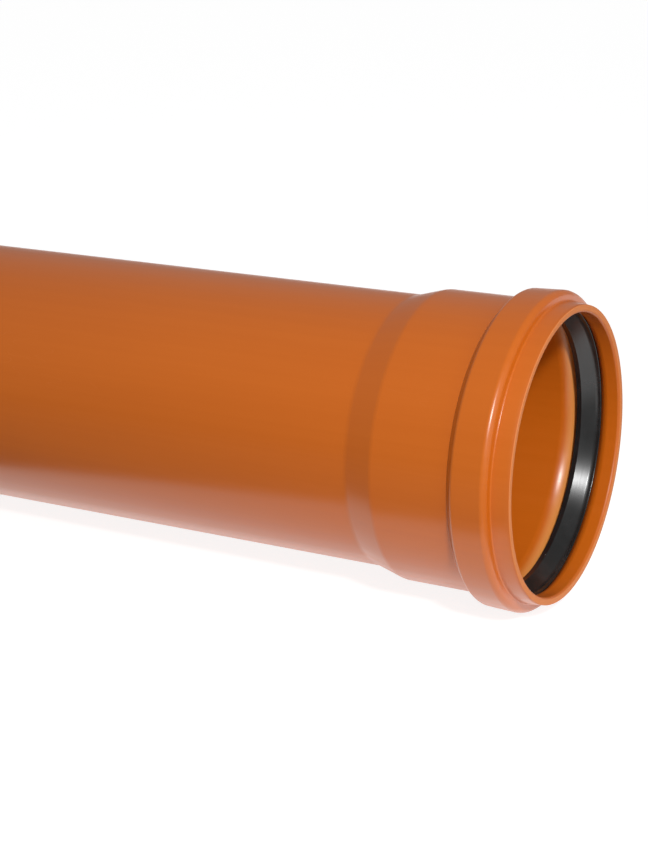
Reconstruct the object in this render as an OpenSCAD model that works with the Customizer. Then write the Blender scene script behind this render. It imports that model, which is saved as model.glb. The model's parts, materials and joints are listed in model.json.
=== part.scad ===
// Sewer pipe: a length of solid-wall PVC drain pipe with a plain, chamfered spigot at one end and a
// formed socket at the other. The socket's raised bead holds a rubber lip seal in its groove.
// The pipe lies on level ground. It rests on the bead and on the end of the spigot, so its axis
// leans a little. +X runs along the pipe towards the socket's mouth, and +Z is up. The origin is on
// the ground, below the middle of the pipe.

/* [Barrel] */
// Outside diameter of the barrel
pipe_d = 160; // [110:1:250]
// Wall thickness of the barrel
pipe_wall = 4.7; // [3.2:0.1:6.2]
// Length that the pipe adds to a run, without the depth of its socket
laid_length = 1000; // [500:10:6000]

/* [Spigot] */
// Length of the chamfer on the spigot's end
chamfer_length = 7; // [4:0.5:9]
// Angle of the chamfer, from the pipe's axis
chamfer_angle = 15; // [10:1:16]

/* [Socket] */
// Depth that a spigot goes in, from the mouth to the stop
socket_depth = 82; // [62:1:140]
// Gap on the radius between a spigot and the socket's bore
socket_gap = 0.6; // [0.3:0.1:1.2]
// Wall thickness of the socket
socket_wall = 4.5; // [3.2:0.1:6.2]
// Angle of the taper from the socket down to the barrel
taper_angle = 16; // [12:1:30]
// Wall thickness at the mouth
mouth_wall = 4.4; // [3:0.1:6]
// Angle at which the lip's outside widens from the mouth to the bead
lip_angle = 6; // [2:1:12]
// Length of the plain bore between the mouth and the sealing groove
lip_length = 9.9; // [8:0.1:16]

/* [Sealing bead] */
// Depth of the sealing groove, outwards from the socket's bore
groove_depth = 6.4; // [5:0.1:9]
// Length of the groove's flat floor
groove_floor = 11.4; // [9:0.1:20]
// Steepness of the groove's front flank, from the pipe's axis
front_angle = 48; // [44:1:54]
// Steepness of the rear flank, inside and outside, from the pipe's axis
rear_angle = 51; // [45:1:58]
// Steepness of the bead's front face, outside, from the pipe's axis
face_angle = 80; // [72:1:85]
// Wall thickness at the front edge of the bead, over the groove
bead_wall = 5; // [4:0.1:6]
// Wall thickness between the bead's front edge and the groove's front flank
shoulder_wall = 6.4; // [5.6:0.1:7]
// Wall thickness at the rear flank, where the formed wall gathers
flank_wall = 6.2; // [5.4:0.1:7]
// Slope of the bead's outside, which widens towards the mouth
bead_slope = 2.5; // [2:0.5:4]

/* [Seal] */
// Space between the seal and the groove that it sits in
seal_clearance = 0.3; // [0.1:0.05:0.5]
// Bare length of the groove's floor behind the seal's heel
heel_gap = 1.5; // [1.2:0.1:2.5]
// How far outside the socket's bore the seal's ramp starts, on the radius
ramp_relief = 1.7; // [1.2:0.1:2.2]
// How far the seal's lip stands inside the socket's bore, on the radius
lip_reach = 2.3; // [1.5:0.1:3.5]
// Width of the lip's edge, which grips the spigot
lip_edge = 3.8; // [2.6:0.1:4.4]

/* [Hidden] */
$fn = 180;
orange_pvc = [0.78, 0.38, 0.13];
black_rubber = [0.13, 0.13, 0.14];

// Radii
barrel_r = pipe_d / 2;
barrel_bore_r = barrel_r - pipe_wall;
socket_bore_r = barrel_r + socket_gap;
socket_r = socket_bore_r + socket_wall;
groove_r = socket_bore_r + groove_depth;
bead_r = groove_r + bead_wall;
mouth_r = socket_bore_r + mouth_wall;

// Most degrees that one step of a rounded corner turns through
arc_step = 5;

// Corner radii of the pipe
edge_round = 0.5;
lead_in = 2;
face_foot = 1;
shoulder_front = 3.8;
shoulder_rear = 2.4;
foot_rear = 0.5;
taper_shoulder = 10;
taper_foot = 11;
lip_corner = 5;
floor_corner = 0.6;
groove_end_round = min(12.5, 0.85 * groove_depth / (1 - cos(rear_angle)));

// Form of the seal's section, and its corner radii
nose_rise = 0.45;
nose_run = 3.1;
lip_trail = 1.8;
notch_rise = 3.6;
notch_run = 2.1;
heel_height = 2.5;
heel_bulge = 0.8;
ramp_round = 0.6;
nose_round = 0.5;
lip_round = 0.3;
notch_round = 0.5;
heel_round = 0.8;
back_round = 0.4;

// Stations along the pipe, as depths from the mouth
pipe_end = socket_depth + laid_length;
floor_start = lip_length + groove_depth / tan(front_angle);
floor_end = floor_start + groove_floor;
groove_end = floor_end + groove_depth / tan(rear_angle);
taper_end = socket_depth + (socket_bore_r - barrel_bore_r) / tan(taper_angle);
outer_taper_start = socket_depth + socket_wall * tan(taper_angle / 2);
outer_taper_end = outer_taper_start + (socket_r - barrel_r) / tan(taper_angle);

// The bead's front edge stands off the groove's front flank by the shoulder's wall. Its rear flank
// runs parallel to the groove's own, one gathered wall further out. Between the two the bead's
// outside falls away from the front edge.
bead_height = bead_r - socket_bore_r;
bead_start = lip_length + (bead_height * cos(front_angle) - shoulder_wall) / sin(front_angle);
rear_rise = groove_r - bead_r + flank_wall / cos(rear_angle) + floor_end * tan(rear_angle);
bead_end = (rear_rise - bead_start * tan(bead_slope)) / (tan(rear_angle) - tan(bead_slope));
bead_rear_r = bead_r - (bead_end - bead_start) * tan(bead_slope);
bead_foot = bead_end + (bead_rear_r - socket_r) / tan(rear_angle);
lip_foot = (bead_r - mouth_r - bead_start * tan(face_angle)) / (tan(lip_angle) - tan(face_angle));
lip_foot_r = mouth_r + lip_foot * tan(lip_angle);

// How the pipe lies: the widest ring of the bead, which is on the round of its front shoulder, and
// the spigot's edge both touch the ground
shoulder_run = shoulder_front * tan((face_angle + bead_slope) / 2);
rest_front = bead_start - shoulder_run * cos(face_angle) + shoulder_front * sin(face_angle);
rest_r = bead_r - shoulder_run * sin(face_angle) + shoulder_front * (1 - cos(face_angle));
rest_rear = pipe_end - chamfer_length;
lean = atan((rest_r - barrel_r) / (rest_rear - rest_front));
mouth_height = rest_r * cos(lean) + rest_front * sin(lean);
mouth_x = pipe_end / 2 * cos(lean);

// A closed outline with each corner rounded by an arc of its own radius.
// corners holds [radius from the axis, depth from the mouth, corner radius].
function rounded(corners) = [
    for (i = [0 : len(corners) - 1])
        let (n = len(corners),
             here = [corners[i].x, corners[i].y],
             before = [corners[(i + n - 1) % n].x, corners[(i + n - 1) % n].y],
             after = [corners[(i + 1) % n].x, corners[(i + 1) % n].y],
             back = (before - here) / norm(before - here),
             ahead = (after - here) / norm(after - here),
             half = acos(max(-1, min(1, back * ahead))) / 2,
             r = corners[i].z,
             centre = here + (back + ahead) / norm(back + ahead) * r / sin(half),
             from = here + back * r / tan(half) - centre,
             to = here + ahead * r / tan(half) - centre,
             turn = 180 - 2 * half,
             steps = max(2, ceil(turn / arc_step)),
             way = from.x * to.y - from.y * to.x > 0 ? 1 : -1)
        for (k = [0 : r > 0 ? steps : 0])
            r > 0 ? centre + spun(from, way * turn * k / steps) : here
];

// A point turned about the outline's origin
function spun(p, angle) = [p.x * cos(angle) - p.y * sin(angle), p.x * sin(angle) + p.y * cos(angle)];

// Turns an outline round the pipe's axis, with the mouth at the origin and the barrel below it
module turned(corners) {
    rotate_extrude() mirror([0, 1]) polygon(rounded(corners));
}

// Lays the pipe down on the ground, with its mouth towards +X
module laid() {
    translate([mouth_x, 0, mouth_height]) rotate([0, -lean, 0]) rotate([0, 90, 0]) children();
}

// The extruded pipe with its formed socket, all one piece
module pipe() {
    chamfer_drop = chamfer_length * tan(chamfer_angle);
    outside = [
        [mouth_r, 0, edge_round],
        [lip_foot_r, lip_foot, face_foot],
        [bead_r, bead_start, shoulder_front],
        [bead_rear_r, bead_end, shoulder_rear],
        [socket_r, bead_foot, foot_rear],
        [socket_r, outer_taper_start, taper_shoulder],
        [barrel_r, outer_taper_end, taper_foot],
        [barrel_r, pipe_end - chamfer_length, 0],
        [barrel_r - chamfer_drop, pipe_end, 0]
    ];
    inside = [
        [barrel_bore_r, pipe_end, 0],
        [barrel_bore_r, taper_end, taper_foot + pipe_wall],
        [socket_bore_r, socket_depth, taper_shoulder - socket_wall],
        [socket_bore_r, groove_end, groove_end_round],
        [groove_r, floor_end, floor_corner],
        [groove_r, floor_start, floor_corner],
        [socket_bore_r, lip_length, lip_corner],
        [socket_bore_r, 0, lead_in]
    ];
    color(orange_pvc) laid() turned(concat(outside, inside));
}

// Where the groove's front flank has the radius r, and where the seal may start there
function flank_at(r) = lip_length + (r - socket_bore_r) / tan(front_angle);
function seal_start(r) = flank_at(r) + seal_clearance / sin(front_angle);

// The rubber ring that sits in the groove. From its nose a ramp leads a spigot down to the lip, a
// tongue that a notch parts from the heel, so that the lip can give way.
module seal_ring() {
    back_r = groove_r - seal_clearance;
    ramp_r = socket_bore_r + ramp_relief;
    nose_r = ramp_r + nose_rise;
    lip_r = socket_bore_r - lip_reach;
    nose = seal_start(nose_r);
    heel = floor_end - heel_gap;
    lip_end = heel + lip_trail;
    section = [
        [nose_r, nose, nose_round],
        [ramp_r, nose + nose_run, ramp_round],
        [lip_r, lip_end - lip_edge, lip_round],
        [lip_r, lip_end, lip_round],
        [lip_r + notch_rise, lip_end - notch_run, notch_round],
        [back_r - heel_height, heel + heel_bulge, heel_round],
        [back_r, heel, heel_round],
        [back_r, seal_start(back_r), back_round]
    ];
    color(black_rubber) laid() turned(section);
}

pipe();
seal_ring();
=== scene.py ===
"""Finishes a sewer pipe, a length of orange PVC drain pipe with its rubber lip seal.

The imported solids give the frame. Each of the two pieces is turned again here with closer rounds,
and gets the look of its own stock: extruded PVC that was heated and formed at the socket, and
moulded rubber. The pieces' sizes are in millimetres; meshes, places and the studio are in metres.
"""

import json
import logging
import math
from dataclasses import dataclass, field
from enum import Enum

import bmesh
import bpy
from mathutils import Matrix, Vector


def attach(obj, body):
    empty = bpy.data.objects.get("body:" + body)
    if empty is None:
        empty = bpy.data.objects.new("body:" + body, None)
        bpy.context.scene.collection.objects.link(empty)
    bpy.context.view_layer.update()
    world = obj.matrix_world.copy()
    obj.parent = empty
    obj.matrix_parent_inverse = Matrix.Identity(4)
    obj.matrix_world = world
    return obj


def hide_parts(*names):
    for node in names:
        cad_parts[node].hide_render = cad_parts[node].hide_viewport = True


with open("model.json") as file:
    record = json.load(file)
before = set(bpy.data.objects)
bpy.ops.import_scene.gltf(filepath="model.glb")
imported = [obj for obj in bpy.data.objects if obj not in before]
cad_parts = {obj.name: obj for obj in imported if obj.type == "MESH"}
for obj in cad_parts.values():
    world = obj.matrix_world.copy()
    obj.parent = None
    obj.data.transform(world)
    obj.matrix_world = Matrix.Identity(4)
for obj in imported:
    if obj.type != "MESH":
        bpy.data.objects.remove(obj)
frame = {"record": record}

LOG = logging.getLogger("sewer_pipe")
MILLIMETRE = 0.001
OUTLINE_WELD = 0.01 * MILLIMETRE
SPIN_WELD = 0.001 * MILLIMETRE
BODY = "root"

Colour = tuple[float, float, float]
Span = tuple[float, float]
Socket = bpy.types.NodeSocket
Number = float | Socket
Shade = Colour | Socket

WHITE: Colour = (1.0, 1.0, 1.0)


class Node(Enum):
    """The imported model's own nodes."""

    PIPE = "pipe"
    SEAL = "seal_ring"


class Slot(Enum):
    """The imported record's material slots."""

    PVC = "orange_pvc"
    RUBBER = "black_rubber"


# ------------------------------------------------------------------------------- where things lie


@dataclass(frozen=True)
class PipeAxis:
    """The pipe's own axis, from the spigot to the mouth, as the pipe lies on the ground.

    Attributes:
        mouth: Centre of the mouth's end face, in metres.
        along: Unit direction of the axis, out of the mouth.
        mounts: The record's mounts by name.
    """

    mouth: Vector
    along: Vector
    mounts: dict[str, dict]

    @classmethod
    def from_record(cls, record: dict, land_middle: float = 4.837) -> "PipeAxis":
        """Reads the axis from the socket's mount.

        Args:
            record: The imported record.
            land_middle: Depth of the socket mount behind the mouth, in millimetres.

        Returns:
            The axis of the pipe.
        """
        mounts = {mount["name"]: mount for mount in record["mounts"]}
        along = Vector(mounts["socket"]["axis"]).normalized()
        mouth = Vector(mounts["socket"]["pos_m"]) + along * land_middle * MILLIMETRE
        return cls(mouth, along, mounts)

    @property
    def lean(self) -> float:
        """Angle between the axis and the ground, in radians."""
        return math.atan2(self.along.z, self.along.x)

    @property
    def upward(self) -> Vector:
        """Unit direction across the axis, in the upright plane."""
        return Vector((-self.along.z, 0.0, self.along.x))

    def radius_of(self, mount: str) -> float:
        """Radius of a round mount, in millimetres."""
        return self.mounts[mount]["dims"]["r_mm"]

    def at(self, radius: float, depth: float) -> Vector:
        """Finds a place over the axis.

        Args:
            radius: Distance from the axis, in millimetres.
            depth: Depth behind the mouth, in millimetres.

        Returns:
            The place, in metres.
        """
        return self.mouth + (self.upward * radius - self.along * depth) * MILLIMETRE


@dataclass(frozen=True)
class Corner:
    """One corner of a turned outline.

    Attributes:
        radius: Distance from the pipe's axis, in millimetres.
        depth: Depth behind the mouth, in millimetres.
        round: Radius of the round on the corner, in millimetres; 0 leaves it sharp.
    """

    radius: float
    depth: float
    round: float = 0.0


# -------------------------------------------------------------------------------- turned pieces


@dataclass
class TurnedPiece:
    """A piece drawn as half a section and spun about the pipe's axis.

    Attributes:
        axis: The pipe's axis.
        name: Name of the finished piece.
        steps: Faces round the axis.
        arc_step: Largest turn of one face on a rounded corner, in degrees.
        arc_least: Fewest faces on a rounded corner.
        long_edge: Length that the straight edges are measured against, in millimetres.
        rounds_of_cuts: For each round, the cuts in an edge that is longer than so many long edges.
        made: The piece's object, once it is built.
    """

    axis: PipeAxis
    name: str = "turned"
    steps: int = 256
    arc_step: float = 4.0
    arc_least: int = 3
    long_edge: float = 14.0
    rounds_of_cuts: tuple[tuple[int, float], ...] = ((7, 20.0), (3, 5.0), (1, 1.5))
    made: bpy.types.Object | None = field(default=None, init=False)

    def corners(self) -> list[Corner]:
        """Gives the corners of the section in order."""
        raise NotImplementedError

    def build(self) -> None:
        """Draws, rounds and spins the section."""
        corners = self.corners()
        self._draw(corners)
        self._round_off(corners)
        self._divide_long_edges()
        self._spin()
        self._smooth()

    def _draw(self, corners: list[Corner]) -> None:
        """Draws the closed outline, one corner at a time, from a single point.

        Args:
            corners: The corners of the section.
        """
        places = [self.axis.at(corner.radius, corner.depth) for corner in corners]
        bpy.ops.object.select_all(action="DESELECT")
        bpy.ops.mesh.primitive_plane_add(size=MILLIMETRE, location=places[0])
        self.made = bpy.context.object
        self.made.name = self.made.data.name = self.name
        bpy.ops.object.transform_apply(location=True)
        bpy.ops.object.mode_set(mode="EDIT")
        bpy.ops.mesh.select_mode(type="VERT")
        bpy.ops.mesh.select_all(action="SELECT")
        bpy.ops.mesh.merge(type="CENTER")
        for here, there in zip(places, places[1:] + places[:1]):
            bpy.ops.mesh.extrude_vertices_move(TRANSFORM_OT_translate={"value": there - here})
        bpy.ops.mesh.select_all(action="SELECT")
        bpy.ops.mesh.remove_doubles(threshold=OUTLINE_WELD)

    def _select_point(self, place: Vector) -> None:
        """Selects the outline's point at a place, and nothing else.

        Args:
            place: Where the point lies, in metres.
        """
        bpy.ops.mesh.select_all(action="DESELECT")
        mesh = bmesh.from_edit_mesh(self.made.data)
        nearest = min(mesh.verts, key=lambda point: (point.co - place).length)
        nearest.select_set(True)
        bmesh.update_edit_mesh(self.made.data)

    def _round_off(self, corners: list[Corner]) -> None:
        """Bevels each corner of the outline by its own round.

        Args:
            corners: The corners of the section.
        """
        for index, corner in enumerate(corners):
            if corner.round <= 0:
                continue
            here = self.axis.at(corner.radius, corner.depth)
            before = corners[index - 1]
            after = corners[(index + 1) % len(corners)]
            back = self.axis.at(before.radius, before.depth) - here
            ahead = self.axis.at(after.radius, after.depth) - here
            turn = math.pi - back.angle(ahead)
            self._select_point(here)
            bpy.ops.mesh.bevel(
                affect="VERTICES",
                offset_type="OFFSET",
                offset=corner.round * math.tan(turn / 2) * MILLIMETRE,
                segments=max(self.arc_least, math.ceil(math.degrees(turn) / self.arc_step)),
                profile=0.5,
            )

    def _divide_long_edges(self) -> None:
        """Cuts the long edges, so that the shading stays true along the straight walls."""
        long_edge = self.long_edge * MILLIMETRE
        for cuts, times in self.rounds_of_cuts:
            bpy.ops.mesh.select_all(action="DESELECT")
            mesh = bmesh.from_edit_mesh(self.made.data)
            for edge in mesh.edges:
                edge.select_set(edge.calc_length() > long_edge * times)
            mesh.select_flush_mode()
            bmesh.update_edit_mesh(self.made.data)
            if any(edge.select for edge in mesh.edges):
                bpy.ops.mesh.subdivide(number_cuts=cuts)

    def _spin(self) -> None:
        """Spins the outline right round the pipe's axis, and turns its faces outwards."""
        bpy.ops.mesh.select_all(action="SELECT")
        bpy.ops.mesh.spin(
            steps=self.steps,
            angle=2 * math.pi,
            center=self.axis.mouth,
            axis=self.axis.along,
            use_auto_merge=True,
        )
        bpy.ops.mesh.select_all(action="SELECT")
        bpy.ops.mesh.remove_doubles(threshold=SPIN_WELD)
        bpy.ops.mesh.normals_make_consistent(inside=False)
        if bmesh.from_edit_mesh(self.made.data).calc_volume(signed=True) < 0:
            bpy.ops.mesh.flip_normals()
        bpy.ops.object.mode_set(mode="OBJECT")

    def _smooth(self) -> None:
        """Shades the piece smooth, with the broad faces setting the normals."""
        bpy.ops.object.select_all(action="DESELECT")
        self.made.select_set(True)
        bpy.context.view_layer.objects.active = self.made
        bpy.ops.object.shade_smooth()
        weighted = self.made.modifiers.new("broad_faces_lead", "WEIGHTED_NORMAL")
        weighted.mode = "FACE_AREA"
        weighted.keep_sharp = True
        bpy.ops.object.modifier_apply(modifier=weighted.name)

    def dress(self, material: bpy.types.Material, slot: Slot, stands_for: Node) -> None:
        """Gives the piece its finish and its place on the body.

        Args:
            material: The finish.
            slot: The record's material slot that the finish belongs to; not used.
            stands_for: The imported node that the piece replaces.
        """
        self.made.data.materials.clear()
        self.made.data.materials.append(material)
        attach(self.made, BODY)
        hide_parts(stands_for.value)


@dataclass
class DrainPipe(TurnedPiece):
    """The extruded pipe with its formed socket, all one piece.

    Sizes are in millimetres, and angles in degrees from the pipe's axis.

    Attributes:
        length: Length over all.
        socket_depth: Depth that a spigot goes in, from the mouth to the stop.
        mouth_wall: Wall at the mouth.
        socket_wall: Wall of the socket.
        bead_wall: Wall at the front edge of the bead, over the groove.
        shoulder_wall: Wall between the bead's front edge and the groove's front flank.
        flank_wall: Wall at the rear flank.
        bead_slope: Slope of the bead's outside, which widens towards the mouth.
        taper_angle: Slope of the taper from the socket down to the barrel.
        lip_length: Length of the plain bore between the mouth and the groove.
        lip_angle: Slope of the lip's outside, which widens from the mouth to the bead.
        groove_depth: Depth of the groove, outwards from the socket's bore.
        groove_floor: Length of the groove's flat floor.
        front_angle: Steepness of the groove's front flank.
        rear_angle: Steepness of the rear flank, inside and outside.
        face_angle: Steepness of the bead's front face, outside.
        shoulder_front: Round on the bead's front edge.
        shoulder_rear: Round on the bead's rear edge.
        foot_rear: Round at the foot of the rear flank, outside.
        face_foot: Round at the foot of the bead's front face.
        lip_corner: Round between the lip's bore and the groove.
        floor_corner: Round at each end of the groove's floor.
        groove_end_round: Round between the groove's rear flank and the socket's bore.
        taper_foot: Round between the taper and the barrel, outside.
        taper_shoulder: Round between the socket and the taper, outside.
        edge_round: Round on the mouth's outer edge.
        lead_in: Round on the mouth's inner edge.
        chamfer_length: Length of the spigot's chamfer.
        chamfer_angle: Slope of the spigot's chamfer.
        cut_edge: Break on the spigot's cut edges.
    """

    name: str = "drain_pipe"
    length: float = 1082.0
    socket_depth: float = 82.0
    mouth_wall: float = 4.4
    socket_wall: float = 4.5
    bead_wall: float = 5.0
    shoulder_wall: float = 6.4
    flank_wall: float = 6.2
    bead_slope: float = 2.5
    taper_angle: float = 16.0
    lip_length: float = 9.9
    lip_angle: float = 6.0
    groove_depth: float = 6.4
    groove_floor: float = 11.4
    front_angle: float = 48.0
    rear_angle: float = 51.0
    face_angle: float = 80.0
    shoulder_front: float = 3.8
    shoulder_rear: float = 2.4
    foot_rear: float = 0.5
    face_foot: float = 1.0
    lip_corner: float = 5.0
    floor_corner: float = 0.6
    groove_end_round: float = 12.5
    taper_foot: float = 11.0
    taper_shoulder: float = 10.0
    edge_round: float = 0.5
    lead_in: float = 2.0
    chamfer_length: float = 7.0
    chamfer_angle: float = 15.0
    cut_edge: float = 0.25

    def corners(self) -> list[Corner]:
        """Works out the section, outside first and then inside, from the mouth and back to it.

        Returns:
            The corners in order.
        """
        front, rear, face, slope, taper, lip = (
            math.radians(angle)
            for angle in (
                self.front_angle,
                self.rear_angle,
                self.face_angle,
                self.bead_slope,
                self.taper_angle,
                self.lip_angle,
            )
        )
        barrel, bore = self.axis.radius_of("spigot"), self.axis.radius_of("flow_bore")
        socket_bore = self.axis.radius_of("socket")
        socket, mouth = socket_bore + self.socket_wall, socket_bore + self.mouth_wall
        groove = socket_bore + self.groove_depth
        bead = groove + self.bead_wall
        floor_start = self.lip_length + self.groove_depth / math.tan(front)
        floor_end = floor_start + self.groove_floor
        groove_end = floor_end + self.groove_depth / math.tan(rear)
        off_front = (bead - socket_bore) * math.cos(front) - self.shoulder_wall
        bead_start = self.lip_length + off_front / math.sin(front)
        rise = groove - bead + self.flank_wall / math.cos(rear) + floor_end * math.tan(rear)
        bead_end = (rise - bead_start * math.tan(slope)) / (math.tan(rear) - math.tan(slope))
        bead_rear = bead - (bead_end - bead_start) * math.tan(slope)
        lip_foot = (bead - mouth - bead_start * math.tan(face)) / (math.tan(lip) - math.tan(face))
        taper_start = self.socket_depth + self.socket_wall * math.tan(taper / 2)
        drop = self.chamfer_length * math.tan(math.radians(self.chamfer_angle))
        outside = [
            Corner(mouth, 0, self.edge_round),
            Corner(mouth + lip_foot * math.tan(lip), lip_foot, self.face_foot),
            Corner(bead, bead_start, self.shoulder_front),
            Corner(bead_rear, bead_end, self.shoulder_rear),
            Corner(socket, bead_end + (bead_rear - socket) / math.tan(rear), self.foot_rear),
            Corner(socket, taper_start, self.taper_shoulder),
            Corner(barrel, taper_start + (socket - barrel) / math.tan(taper), self.taper_foot),
            Corner(barrel, self.length - self.chamfer_length, self.cut_edge),
            Corner(barrel - drop, self.length, self.cut_edge),
        ]
        inside = [
            Corner(bore, self.length, self.cut_edge),
            Corner(
                bore,
                self.socket_depth + (socket_bore - bore) / math.tan(taper),
                self.taper_foot + self.socket_wall,
            ),
            Corner(socket_bore, self.socket_depth, self.taper_shoulder - self.socket_wall),
            Corner(socket_bore, groove_end, self.groove_end_round),
            Corner(groove, floor_end, self.floor_corner),
            Corner(groove, floor_start, self.floor_corner),
            Corner(socket_bore, self.lip_length, self.lip_corner),
            Corner(socket_bore, 0, self.lead_in),
        ]
        return outside + inside


@dataclass
class SealRing(TurnedPiece):
    """The rubber lip seal that sits in the socket's groove.

    Sizes are in millimetres. A radius is from the pipe's axis, and a depth is behind the mouth.

    Attributes:
        back_radius: Radius of the flat back.
        back_depth: Depth at which the back starts.
        nose_radius: Radius of the nose.
        nose_depth: Depth of the nose.
        ramp_radius: Radius at which the nose turns into the ramp.
        ramp_start: Depth at which it does.
        lip_end: Depth at which the lip ends.
        lip_edge: Width of the lip's edge.
        notch_radius: Radius of the notch between the lip and the heel.
        notch_depth: Depth of the notch.
        heel_radius: Radius of the heel's inner corner.
        heel_depth: Depth of that corner.
        heel_corner: Depth at which the back ends.
        nose_round: Round on the nose.
        ramp_round: Round where the nose turns into the ramp.
        lip_round: Round on each edge of the lip.
        notch_round: Round in the notch.
        heel_round: Round on each corner of the heel.
        back_round: Round where the back starts.
    """

    name: str = "lip_seal"
    back_radius: float = 86.7
    back_depth: float = 15.80
    nose_radius: float = 82.75
    nose_depth: float = 12.24
    ramp_radius: float = 82.3
    ramp_start: float = 15.34
    lip_end: float = 26.66
    lip_edge: float = 3.1
    notch_radius: float = 81.9
    notch_depth: float = 25.26
    heel_radius: float = 84.2
    heel_depth: float = 26.36
    heel_corner: float = 25.56
    nose_round: float = 0.5
    ramp_round: float = 7.0
    lip_round: float = 0.3
    notch_round: float = 0.5
    heel_round: float = 0.8
    back_round: float = 0.4

    def corners(self) -> list[Corner]:
        """Works out the section from the nose, along the ramp to the lip, and round the back.

        Returns:
            The corners in order.
        """
        lip = self.axis.radius_of("seal_lip")
        return [
            Corner(self.nose_radius, self.nose_depth, self.nose_round),
            Corner(self.ramp_radius, self.ramp_start, self.ramp_round),
            Corner(lip, self.lip_end - self.lip_edge, self.lip_round),
            Corner(lip, self.lip_end, self.lip_round),
            Corner(self.notch_radius, self.notch_depth, self.notch_round),
            Corner(self.heel_radius, self.heel_depth, self.heel_round),
            Corner(self.back_radius, self.heel_corner, self.heel_round),
            Corner(self.back_radius, self.back_depth, self.back_round),
        ]


# ------------------------------------------------------------------------------------- finishes


@dataclass(frozen=True)
class Grain:
    """A noise pattern that is alike in all directions.

    Attributes:
        scale: Size of the pattern, as its number of waves in a metre.
        detail: Number of finer layers.
        rough: Strength of each finer layer beside the one before.
    """

    scale: float
    detail: float = 2.0
    rough: float = 0.5


@dataclass(frozen=True)
class Streak:
    """A noise pattern that is drawn out along the pipe or round it.

    Attributes:
        across: Number of waves in one radian round the axis.
        along: Number of waves in a metre along the axis.
        detail: Number of finer layers.
        rough: Strength of each finer layer beside the one before.
    """

    across: float
    along: float
    detail: float = 2.0
    rough: float = 0.5


@dataclass(frozen=True)
class PipePlace:
    """Sockets that say where a point lies on the pipe.

    Attributes:
        point: Place in the pipe's own frame, with x along the axis and 0 at the mouth.
        x: Place along the axis, which is negative behind the mouth.
        across: Place across the axis, as a vector without the part along it.
        turn: Unit direction across the axis.
    """

    point: Socket
    x: Socket
    across: Socket
    turn: Socket


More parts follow.
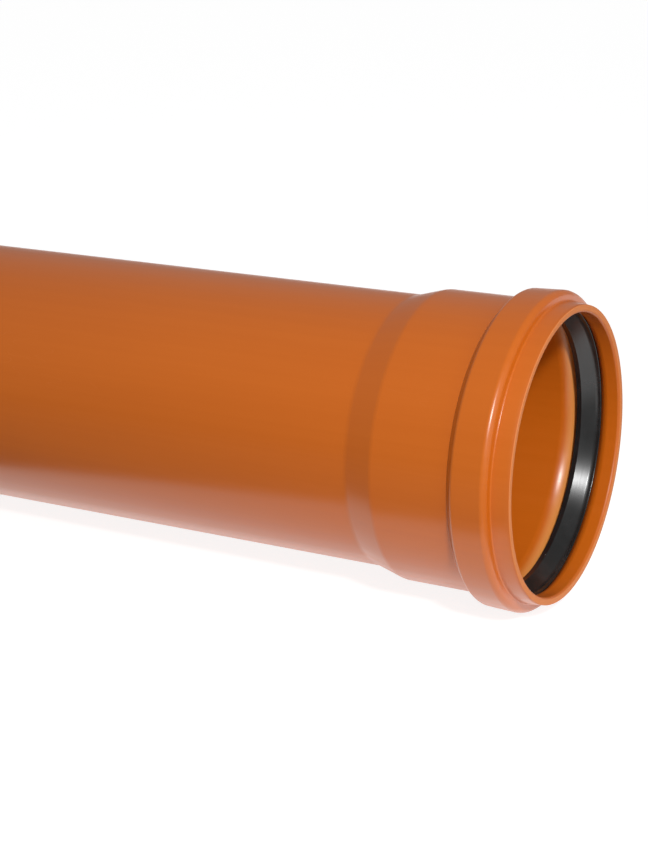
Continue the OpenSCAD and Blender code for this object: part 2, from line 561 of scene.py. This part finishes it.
class NodeBench:
    """Lays out the nodes of one tree."""

    def __init__(self, tree: bpy.types.NodeTree) -> None:
        """Clears the tree."""
        self.tree = tree
        self.tree.nodes.clear()

    def add(self, kind: str) -> bpy.types.Node:
        """Adds a node."""
        return self.tree.nodes.new(kind)

    def join(self, source: Socket, target: Socket) -> None:
        """Links one socket to another."""
        self.tree.links.new(source, target)

    def feed(self, socket: Socket, value: object) -> None:
        """Links a socket if the value is one, and sets it if it isn't.

        Args:
            socket: The socket that is fed.
            value: A socket, a number, a vector or a colour without its alpha.
        """
        if isinstance(value, Socket):
            self.join(value, socket)
        elif socket.type == "RGBA":
            socket.default_value = (*value, 1.0)
        else:
            socket.default_value = value

    def maths(self, operation: str, *values: Number) -> Socket:
        """Adds a maths node.

        Args:
            operation: The node's operation.
            *values: The numbers that it works on.

        Returns:
            The result.
        """
        node = self.add("ShaderNodeMath")
        node.operation = operation
        for socket, value in zip(node.inputs, values):
            self.feed(socket, value)
        return node.outputs[0]

    def plus(self, first: Number, second: Number) -> Socket:
        """Adds two numbers."""
        return self.maths("ADD", first, second)

    def times(self, first: Number, second: Number) -> Socket:
        """Multiplies two numbers."""
        return self.maths("MULTIPLY", first, second)

    def vector(self, operation: str, *values: object) -> Socket:
        """Adds a vector maths node.

        Args:
            operation: The node's operation.
            *values: The vectors that it works on.

        Returns:
            The result, a number for a length or a dot product and otherwise a vector.
        """
        node = self.add("ShaderNodeVectorMath")
        node.operation = operation
        for socket, value in zip(node.inputs, values):
            self.feed(socket, value)
        return node.outputs["Value" if operation in ("LENGTH", "DOT_PRODUCT") else "Vector"]

    def range(self, value: Number, span: Span, to: Span = (0.0, 1.0)) -> Socket:
        """Maps a range of numbers onto another, smoothly and without overshoot.

        Args:
            value: The number that is mapped.
            span: Where the change starts and ends.
            to: The numbers before and after the change.

        Returns:
            The mapped number.
        """
        node = self.add("ShaderNodeMapRange")
        node.interpolation_type = "SMOOTHSTEP"
        names = ("Value", "From Min", "From Max", "To Min", "To Max")
        for name, number in zip(names, (value, *span, *to)):
            self.feed(node.inputs[name], number)
        return node.outputs["Result"]

    def before(self, x: Socket, depths: Span) -> Socket:
        """Gives 1 near the mouth, which fades to 0 from one depth in millimetres to the next."""
        return self.range(x, (-depths[1] * MILLIMETRE, -depths[0] * MILLIMETRE))

    def behind(self, x: Socket, depths: Span) -> Socket:
        """Gives 0 near the mouth, which rises to 1 from one depth in millimetres to the next."""
        return self.range(x, (-depths[1] * MILLIMETRE, -depths[0] * MILLIMETRE), (1.0, 0.0))

    def blend(self, factor: Number, first: Shade, second: Shade) -> Socket:
        """Mixes two colours.

        Args:
            factor: Share of the second colour.
            first: First colour.
            second: Second colour.

        Returns:
            The mixed colour.
        """
        node = self.add("ShaderNodeMix")
        node.data_type = "RGBA"
        self.feed(node.inputs["Factor"], factor)
        colours = [socket for socket in node.inputs if socket.type == "RGBA"]
        for socket, value in zip(colours, (first, second)):
            self.feed(socket, value)
        return next(socket for socket in node.outputs if socket.type == "RGBA")

    def split(self, vector: Socket) -> tuple[Socket, Socket, Socket]:
        """Splits a vector.

        Args:
            vector: The vector.

        Returns:
            Its three numbers.
        """
        node = self.add("ShaderNodeSeparateXYZ")
        self.join(vector, node.inputs[0])
        return node.outputs[0], node.outputs[1], node.outputs[2]

    def gather(self, x: Number, y: Number, z: Number) -> Socket:
        """Makes a vector.

        Args:
            x: Its first number.
            y: Its second number.
            z: Its third number.

        Returns:
            The vector.
        """
        node = self.add("ShaderNodeCombineXYZ")
        for socket, value in zip(node.inputs, (x, y, z)):
            self.feed(socket, value)
        return node.outputs[0]

    def noise(self, vector: Socket, grain: Grain) -> Socket:
        """Adds a noise pattern.

        Args:
            vector: Where the pattern is read.
            grain: The pattern.

        Returns:
            The pattern's height, about 0.5 in the middle.
        """
        node = self.add("ShaderNodeTexNoise")
        self.feed(node.inputs["Vector"], vector)
        node.inputs["Scale"].default_value = grain.scale
        node.inputs["Detail"].default_value = grain.detail
        node.inputs["Roughness"].default_value = grain.rough
        return node.outputs[0]

    def streaks(self, place: PipePlace, streak: Streak) -> Socket:
        """Adds a drawn-out noise pattern.

        Args:
            place: Where the point lies on the pipe.
            streak: The pattern.

        Returns:
            The pattern's height, about 0.5 in the middle.
        """
        along = self.gather(self.times(place.x, streak.along), 0.0, 0.0)
        point = self.vector("MULTIPLY_ADD", place.turn, (streak.across,) * 3, along)
        return self.noise(point, Grain(1.0, streak.detail, streak.rough))

    def surface(self, kind: str, **values: Number | Shade) -> Socket:
        """Adds a shader.

        Args:
            kind: The shader's node.
            **values: Its inputs by name.

        Returns:
            The shader.
        """
        node = self.add(kind)
        for name, value in values.items():
            self.feed(node.inputs[name], value)
        return node.outputs[0]

    def pile(self, first: Socket, second: Socket) -> Socket:
        """Adds one shader to another.

        Args:
            first: One shader.
            second: The other shader.

        Returns:
            Both together.
        """
        node = self.add("ShaderNodeAddShader")
        for socket, value in zip(node.inputs, (first, second)):
            self.join(value, socket)
        return node.outputs[0]

    def choose(self, factor: Socket, first: Socket, second: Socket) -> Socket:
        """Chooses between two shaders.

        Args:
            factor: 0 for the first and 1 for the second.
            first: First shader.
            second: Second shader.

        Returns:
            The chosen shader.
        """
        node = self.add("ShaderNodeMixShader")
        for socket, value in zip(node.inputs, (factor, first, second)):
            self.join(value, socket)
        return node.outputs[0]


class FinishBench(NodeBench):
    """Lays out the nodes of a piece's material round one shader."""

    def __init__(self, name: str) -> None:
        """Starts a material.

        Args:
            name: Name of the material.
        """
        self.material = bpy.data.materials.new(name)
        self.material.use_nodes = True
        super().__init__(self.material.node_tree)
        self.shader = self.add("ShaderNodeBsdfPrincipled")
        output = self.add("ShaderNodeOutputMaterial")
        self.join(self.shader.outputs["BSDF"], output.inputs["Surface"])

    def pipe_place(self, axis: PipeAxis) -> PipePlace:
        """Finds where a point lies on the pipe.

        Args:
            axis: The pipe's axis.

        Returns:
            The place, as sockets.
        """
        source = self.add("ShaderNodeTexCoord")
        mapping = self.add("ShaderNodeMapping")
        mapping.vector_type = "TEXTURE"
        mapping.inputs["Location"].default_value = axis.mouth
        mapping.inputs["Rotation"].default_value = (0.0, -axis.lean, 0.0)
        self.join(source.outputs["Object"], mapping.inputs["Vector"])
        point = mapping.outputs["Vector"]
        x, y, z = self.split(point)
        across = self.gather(0.0, y, z)
        return PipePlace(point, x, across, self.vector("NORMALIZE", across))

    def bump(self, layers: tuple[tuple[Socket, float], ...]) -> None:
        """Roughs up the shader's normal with one bump on another.

        Args:
            layers: Height and depth in millimetres of each bump, the lowest first.
        """
        under = None
        for height, depth in layers:
            node = self.add("ShaderNodeBump")
            node.inputs["Strength"].default_value = 1.0
            node.inputs["Distance"].default_value = depth * MILLIMETRE
            self.join(height, node.inputs["Height"])
            if under is not None:
                self.join(under, node.inputs["Normal"])
            under = node.outputs["Normal"]
        self.join(under, self.shader.inputs["Normal"])


@dataclass(frozen=True)
class OrangePvc:
    """Extruded orange-brown PVC, with faint die lines, handling marks and sawn ends.

    Attributes:
        base: Colour of most of the wall.
        deep: Colour where the clouds and streaks are darker.
        sawn: Colour of the sawn ends.
        scuffed: Colour of the hairline scuffs.
        painted_flank_light: Paler colour painted on the groove's rear flank, inside the socket, as
            a painted highlight.
        gloss: Least roughness.
        gloss_change: How much rougher the streaks make it.
        ior: Index of refraction.
        cloud: Slow change of tone.
        cloud_edge: Heights of that pattern between which the tone changes.
        cloud_share: Its share of the tone.
        streak: Streaks along the extrusion.
        streak_edge: Heights of that pattern between which the tone changes.
        streak_share: Its share of the tone.
        gloss_edge: Heights of that pattern between which the roughness changes.
        die_line: Fine lines along the extrusion.
        die_line_depth: Their depth, in millimetres.
        wander: Slow waves of the surface.
        wander_depth: Their depth, in millimetres.
        fine: Fine grain of the surface.
        fine_depth: Its depth, in millimetres.
        hair: Pattern whose middle line is a hairline scuff.
        hair_width: Width of a scuff, in the pattern's height.
        patch: Pattern of the places that have scuffs.
        patch_edge: Heights of that pattern between which the scuffs fade in.
        scuff_share: Share of the scuffs' own colour.
        scuff_rough: Roughness that a full scuff adds.
        painted_light_radius: Radii between which the painted highlight fades out, in millimetres.
        painted_light_from: Depths between which it fades in, in millimetres.
        painted_light_to: Depths between which it fades out, in millimetres.
        painted_light_share: Share of the painted highlight's colour.
        sawn_mouth: Depths between which the mouth's sawn face fades out, in millimetres.
        sawn_spigot: Distances from the far end between which its sawn face fades in, likewise.
        sawn_rough: Roughness that sawing adds.
        handled: Depths between which the wear of the mouth's edge fades out, in millimetres.
        handled_rough: Roughness that this wear adds.
    """

    base: Colour = (0.575, 0.128, 0.0065)
    deep: Colour = (0.545, 0.117, 0.005)
    sawn: Colour = (0.67, 0.205, 0.05)
    scuffed: Colour = (0.64, 0.19, 0.05)
    painted_flank_light: Colour = (0.85, 0.33, 0.075)
    gloss: float = 0.28
    gloss_change: float = 0.05
    ior: float = 1.5
    cloud: Streak = Streak(1.6, 3.0, 3.0, 0.55)
    cloud_edge: Span = (0.3, 0.7)
    cloud_share: float = 0.7
    streak: Streak = Streak(22.0, 1.2, 3.0, 0.6)
    streak_edge: Span = (0.35, 0.65)
    streak_share: float = 0.3
    gloss_edge: Span = (0.3, 0.7)
    die_line: Streak = Streak(95.0, 0.7)
    die_line_depth: float = 0.006
    wander: Grain = Grain(38.0)
    wander_depth: float = 0.06
    fine: Grain = Grain(900.0, 2.0, 0.6)
    fine_depth: float = 0.0012
    hair: Streak = Streak(9.0, 26.0, 1.0, 0.4)
    hair_width: float = 0.0022
    patch: Grain = Grain(14.0)
    patch_edge: Span = (0.56, 0.66)
    scuff_share: float = 0.35
    scuff_rough: float = 0.3
    painted_light_radius: Span = (87.0, 87.5)
    painted_light_from: Span = (20.0, 22.0)
    painted_light_to: Span = (29.5, 35.5)
    painted_light_share: float = 0.9
    sawn_mouth: Span = (0.15, 0.45)
    sawn_spigot: Span = (0.35, 0.15)
    sawn_rough: float = 0.2
    handled: Span = (0.5, 2.6)
    handled_rough: float = 0.2

    def make(self, axis: PipeAxis, length: float) -> bpy.types.Material:
        """Builds the finish.

        Args:
            axis: The pipe's axis.
            length: Length of the pipe, in millimetres.

        Returns:
            The material.
        """
        bench = FinishBench("orange_pvc_finish")
        place = bench.pipe_place(axis)
        streaks = bench.streaks(place, self.streak)
        scuffs = self._scuffs(bench, place)
        sawn = self._sawn_ends(bench, place, length)

        clouds = bench.streaks(place, self.cloud)
        cloudy = bench.range(clouds, self.cloud_edge, (0.0, self.cloud_share))
        streaky = bench.range(streaks, self.streak_edge, (0.0, self.streak_share))
        colour = bench.blend(bench.plus(cloudy, streaky), self.deep, self.base)
        colour = bench.blend(scuffs, colour, self.scuffed)
        # Paints a pale highlight on the groove's rear flank inside the socket, where the lamp's
        # light falls.
        colour = bench.blend(self._painted_light_mask(bench, place), colour, self.painted_flank_light)
        colour = bench.blend(sawn, colour, self.sawn)
        bench.join(colour, bench.shader.inputs["Base Color"])

        handled = bench.before(place.x, self.handled)
        change = bench.range(streaks, self.gloss_edge, (0.0, self.gloss_change))
        rough = bench.plus(self.gloss, change)
        rough = bench.plus(rough, bench.times(scuffs, self.scuff_rough))
        rough = bench.plus(rough, bench.times(sawn, self.sawn_rough))
        rough = bench.plus(rough, bench.times(handled, self.handled_rough))
        bench.join(rough, bench.shader.inputs["Roughness"])
        bench.shader.inputs["IOR"].default_value = self.ior

        bench.bump(
            (
                (bench.noise(place.point, self.wander), self.wander_depth),
                (bench.streaks(place, self.die_line), self.die_line_depth),
                (bench.noise(place.point, self.fine), self.fine_depth),
            )
        )
        return bench.material

    def _scuffs(self, bench: NodeBench, place: PipePlace) -> Socket:
        """Draws the hairline scuffs, a few to a patch.

        Args:
            bench: The material's bench.
            place: Where the point lies on the pipe.

        Returns:
            Share of the scuffs' own colour.
        """
        off_middle = bench.maths("SUBTRACT", bench.streaks(place, self.hair), 0.5)
        line = bench.range(bench.maths("ABSOLUTE", off_middle), (0.0, self.hair_width), (1.0, 0.0))
        patch = bench.range(bench.noise(place.point, self.patch), self.patch_edge)
        return bench.times(bench.times(line, patch), self.scuff_share)

    def _painted_light_mask(self, bench: NodeBench, place: PipePlace) -> Socket:
        """Finds the groove's rear flank inside the socket, where a pale highlight is painted.

        Args:
            bench: The material's bench.
            place: Where the point lies on the pipe.

        Returns:
            Share of the painted highlight's colour.
        """
        inner, outer = self.painted_light_radius
        reach = bench.vector("LENGTH", place.across)
        inside = bench.range(reach, (inner * MILLIMETRE, outer * MILLIMETRE), (1.0, 0.0))
        # corner is the band on the rear flank that gets the painted highlight.
        corner = bench.times(inside, bench.before(place.x, self.painted_light_to))
        behind_groove = bench.behind(place.x, self.painted_light_from)
        return bench.times(corner, bench.times(behind_groove, self.painted_light_share))

    def _sawn_ends(self, bench: NodeBench, place: PipePlace, length: float) -> Socket:
        """Finds the sawn faces of the two ends.

        Args:
            bench: The material's bench.
            place: Where the point lies on the pipe.
            length: Length of the pipe, in millimetres.

        Returns:
            1 on the sawn faces and 0 elsewhere.
        """
        near, far = self.sawn_spigot
        spigot = bench.behind(place.x, (length - near, length - far))
        return bench.maths("MAXIMUM", bench.before(place.x, self.sawn_mouth), spigot)


@dataclass(frozen=True)
class BlackRubber:
    """Moulded black rubber with a faint bloom and a little dust.

    Attributes:
        base: Colour of the bare rubber.
        bloom: Colour where the rubber has bloomed.
        dust: Colour of the dust.
        gloss: Least roughness.
        gloss_change: How much rougher the bloom makes it.
        gloss_edge: Heights of the bloom's pattern between which the roughness changes.
        ior: Index of refraction.
        cloud: Pattern of the bloom.
        cloud_edge: Heights of that pattern between which the bloom fades in.
        mould: Fine rings that the turned mould leaves.
        mould_depth: Their depth, in millimetres.
        grain: Fine grain of the surface.
        grain_depth: Its depth, in millimetres.
        dust_count: Places for a speck of dust in a metre.
        speck_edge: Shares of a place's size between which a speck fades out from its middle.
        dusty: Pattern that says which specks are there.
        dusty_edge: Heights of that pattern between which they fade in.
        dust_rough: Roughness that dust adds.
    """

    base: Colour = (0.009, 0.0095, 0.0095)
    bloom: Colour = (0.018, 0.0185, 0.019)
    dust: Colour = (0.5, 0.5, 0.48)
    gloss: float = 0.252
    gloss_change: float = 0.018
    gloss_edge: Span = (0.3, 0.7)
    ior: float = 1.52
    cloud: Grain = Grain(60.0, 3.0, 0.6)
    cloud_edge: Span = (0.35, 0.7)
    mould: Streak = Streak(3.0, 1400.0)
    mould_depth: float = 0.012
    grain: Grain = Grain(1500.0, 2.0, 0.6)
    grain_depth: float = 0.003
    dust_count: float = 210.0
    speck_edge: Span = (0.035, 0.06)
    dusty: Grain = Grain(130.0, 1.0)
    dusty_edge: Span = (0.66, 0.68)
    dust_rough: float = 0.4

    def make(self, axis: PipeAxis) -> bpy.types.Material:
        """Builds the finish.

        Args:
            axis: The pipe's axis.

        Returns:
            The material.
        """
        bench = FinishBench("black_rubber_finish")
        place = bench.pipe_place(axis)
        cloud = bench.noise(place.point, self.cloud)
        dust = self._dust(bench, place)

        colour = bench.blend(bench.range(cloud, self.cloud_edge), self.base, self.bloom)
        colour = bench.blend(dust, colour, self.dust)
        bench.join(colour, bench.shader.inputs["Base Color"])

        change = bench.range(cloud, self.gloss_edge, (0.0, self.gloss_change))
        rough = bench.plus(bench.plus(self.gloss, change), bench.times(dust, self.dust_rough))
        bench.join(rough, bench.shader.inputs["Roughness"])
        bench.shader.inputs["IOR"].default_value = self.ior

        mould, grain = bench.streaks(place, self.mould), bench.noise(place.point, self.grain)
        bench.bump(((mould, self.mould_depth), (grain, self.grain_depth)))
        return bench.material

    def _dust(self, bench: NodeBench, place: PipePlace) -> Socket:
        """Scatters a few specks of dust.

        Args:
            bench: The material's bench.
            place: Where the point lies on the pipe.

        Returns:
            1 on a speck and 0 elsewhere.
        """
        cells = bench.add("ShaderNodeTexVoronoi")
        bench.join(place.point, cells.inputs["Vector"])
        cells.inputs["Scale"].default_value = self.dust_count
        speck = bench.range(cells.outputs["Distance"], self.speck_edge, (1.0, 0.0))
        chosen = bench.range(bench.noise(place.point, self.dusty), self.dusty_edge)
        return bench.times(speck, chosen)


# ---------------------------------------------------------------------------------------- studio


@dataclass(frozen=True)
class Studio:
    """The pale floor, the soft light and the camera. Lengths are in metres, but for the lens.

    Attributes:
        axis: The pipe's axis.
        eye: Camera's place, out from the mouth's centre.
        back: Direction from what the camera looks at to the camera.
        lens: Focal length, in millimetres.
        sensor: Width of the sensor, in millimetres.
        clip: Nearest and furthest that the camera sees.
        floor_side: Side of the square floor.
        sheet_slope: Slope of the white sheet's front edge, in y for each x.
        sheet_edge: Where that edge crosses x = 0, in y.
        sheet_end: Where the sheet ends beyond the mouth, in x.
        edge_fade: Half the width over which the sheet's front edge fades.
        end_fade: Half the width over which the sheet's end fades.
        bare: Grey of the floor beside the sheet.
        sheet: Colour of the sheet.
        shown: Strength at which the camera sees the floor, before its light and shadow.
        shown_shade: Grey that takes the light and shadow which the camera sees.
        key_azimuth: Lamp's direction from the mouth, in degrees from the front towards +X.
        key_height: Lamp's height over the mouth, in degrees.
        key_away: Lamp's distance from the mouth.
        key_side: Side of the square lamp.
        key_power: Lamp's power, in watts.
        room_rise: Direction in which the room is brightest.
        room_spread: Cosines off that direction between which the room brightens.
        room_light: The room's strength at its darkest and its brightest.
        window: Direction of the broad weak light on the mouth's side.
        window_spread: Cosines off that direction between which it fades in.
        window_light: Strength that it adds.
    """

    axis: PipeAxis
    eye: tuple[float, float, float] = (0.37867, -0.98921, 0.35627)
    back: tuple[float, float, float] = (0.452375, -0.836252, 0.309903)
    lens: float = 82.44
    sensor: float = 36.0
    clip: Span = (0.05, 100.0)
    floor_side: float = 24.0
    sheet_slope: float = -0.229
    sheet_edge: float = -0.044
    sheet_end: float = 0.62
    edge_fade: float = 0.003
    end_fade: float = 0.02
    bare: Colour = (0.38, 0.38, 0.38)
    sheet: Colour = (0.8, 0.8, 0.8)
    shown: float = 0.87
    shown_shade: Colour = (0.3, 0.3, 0.3)
    key_azimuth: float = 33.0
    key_height: float = 34.8
    key_away: float = 1.5
    key_side: float = 0.13
    key_power: float = 17.5
    room_rise: tuple[float, float, float] = (-0.35, 0.62, 0.70)
    room_spread: Span = (-0.5, 0.7)
    room_light: Span = (0.26, 0.36)
    window: tuple[float, float, float] = (0.93, -0.33, 0.15)
    window_spread: Span = (0.75, 0.95)
    window_light: float = 0.9

    def build(self) -> None:
        """Sets up the floor, the lamp, the room's own light and the camera."""
        self._floor()
        self._key()
        self._room()
        self._camera()
        bpy.context.scene.view_settings.view_transform = "Standard"

    def _floor(self) -> None:
        """Lays the floor."""
        bpy.ops.object.select_all(action="DESELECT")
        bpy.ops.mesh.primitive_plane_add(size=self.floor_side, location=(0.0, 0.0, 0.0))
        floor = bpy.context.object
        floor.name = "studio_floor"
        floor.data.materials.append(self._floor_finish())

    def _floor_finish(self) -> bpy.types.Material:
        """Builds a white sheet on a darker floor; the camera sees both as white, with the shadow.

        Returns:
            The material.
        """
        material = bpy.data.materials.new("studio_floor_finish")
        material.use_nodes = True
        bench = NodeBench(material.node_tree)
        rays = bench.add("ShaderNodeLightPath")
        x, y, _ = bench.split(bench.add("ShaderNodeTexCoord").outputs["Object"])
        front_edge = bench.maths("MULTIPLY_ADD", x, self.sheet_slope, self.sheet_edge)
        beyond = bench.maths("SUBTRACT", y, front_edge)
        end = (self.sheet_end - self.end_fade, self.sheet_end + self.end_fade)
        short_of_end = bench.range(x, end, (1.0, 0.0))
        sheet = bench.times(bench.range(beyond, (-self.edge_fade, self.edge_fade)), short_of_end)
        past_end = bench.maths("SUBTRACT", 1.0, short_of_end)
        far_side = bench.times(past_end, bench.range(y, (-self.end_fade, self.end_fade)))
        bright = bench.maths("MAXIMUM", sheet, far_side)

        ground = bench.blend(sheet, self.bare, self.sheet)
        paper = bench.surface("ShaderNodeBsdfDiffuse", Color=ground)
        mirrored = bench.times(bright, rays.outputs["Is Glossy Ray"])
        glow = bench.surface("ShaderNodeEmission", Strength=mirrored)
        white = bench.surface("ShaderNodeEmission", Strength=self.shown)
        shade = bench.surface("ShaderNodeBsdfDiffuse", Color=self.shown_shade)
        lit, backdrop = bench.pile(paper, glow), bench.pile(white, shade)
        seen = bench.choose(rays.outputs["Is Camera Ray"], lit, backdrop)
        bench.join(seen, bench.add("ShaderNodeOutputMaterial").inputs["Surface"])
        return material

    def _key(self) -> None:
        """Hangs the one soft lamp, above and to the right of the camera."""
        azimuth, height = math.radians(self.key_azimuth), math.radians(self.key_height)
        toward = Vector(
            (
                math.sin(azimuth) * math.cos(height),
                -math.cos(azimuth) * math.cos(height),
                math.sin(height),
            )
        )
        lamp = bpy.data.lights.new("key_softbox", "AREA")
        lamp.shape = "SQUARE"
        lamp.size = self.key_side
        lamp.energy = self.key_power
        holder = bpy.data.objects.new("key_softbox", lamp)
        bpy.context.scene.collection.objects.link(holder)
        holder.location = self.axis.mouth + toward * self.key_away
        holder.rotation_euler = toward.to_track_quat("Z", "Y").to_euler()

    def _room(self) -> None:
        """Lets the room light the pipe softly, and shows the camera a white room."""
        world = bpy.data.worlds.new("soft_room")
        bpy.context.scene.world = world
        world.use_nodes = True
        bench = NodeBench(world.node_tree)
        way = bench.add("ShaderNodeTexCoord").outputs["Generated"]
        rise = bench.vector("DOT_PRODUCT", way, Vector(self.room_rise).normalized())
        sideways = bench.vector("DOT_PRODUCT", way, Vector(self.window).normalized())
        light = bench.plus(
            bench.range(rise, self.room_spread, self.room_light),
            bench.range(sideways, self.window_spread, (0.0, self.window_light)),
        )
        room = bench.surface("ShaderNodeBackground", Color=WHITE, Strength=light)
        white = bench.surface("ShaderNodeBackground", Color=WHITE, Strength=1.0)
        seen = bench.choose(bench.add("ShaderNodeLightPath").outputs["Is Camera Ray"], room, white)
        bench.join(seen, bench.add("ShaderNodeOutputWorld").inputs["Surface"])

    def _camera(self) -> None:
        """Places the camera in front of the mouth and a little above it."""
        data = bpy.data.cameras.new("view_camera")
        data.lens = self.lens
        data.sensor_width = self.sensor
        data.clip_start, data.clip_end = self.clip
        camera = bpy.data.objects.new("view_camera", data)
        bpy.context.scene.collection.objects.link(camera)
        camera.location = self.axis.mouth + Vector(self.eye)
        camera.rotation_mode = "QUATERNION"
        camera.rotation_quaternion = (-Vector(self.back)).to_track_quat("-Z", "Y")
        bpy.context.scene.camera = camera


def report_piece(piece: TurnedPiece) -> None:
    """Reports a finished piece: its name, its faces and its finish."""
    mesh = piece.made.data
    LOG.info("%s: %d faces, in %s", piece.name, len(mesh.polygons), mesh.materials[0].name)


def main() -> None:
    """Builds the pieces in order and dresses the scene."""
    logging.basicConfig(level=logging.INFO, format="%(name)s %(message)s")
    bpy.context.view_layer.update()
    axis = PipeAxis.from_record(frame["record"])
    LOG.info("the pipe leans %.3f degrees", math.degrees(axis.lean))

    pipe = DrainPipe(axis)
    pipe.build()
    pipe.dress(OrangePvc().make(axis, pipe.length), Slot.PVC, Node.PIPE)
    report_piece(pipe)

    seal = SealRing(axis)
    seal.build()
    seal.dress(BlackRubber().make(axis), Slot.RUBBER, Node.SEAL)
    report_piece(seal)

    Studio(axis).build()


if __name__ == "__main__":
    main()
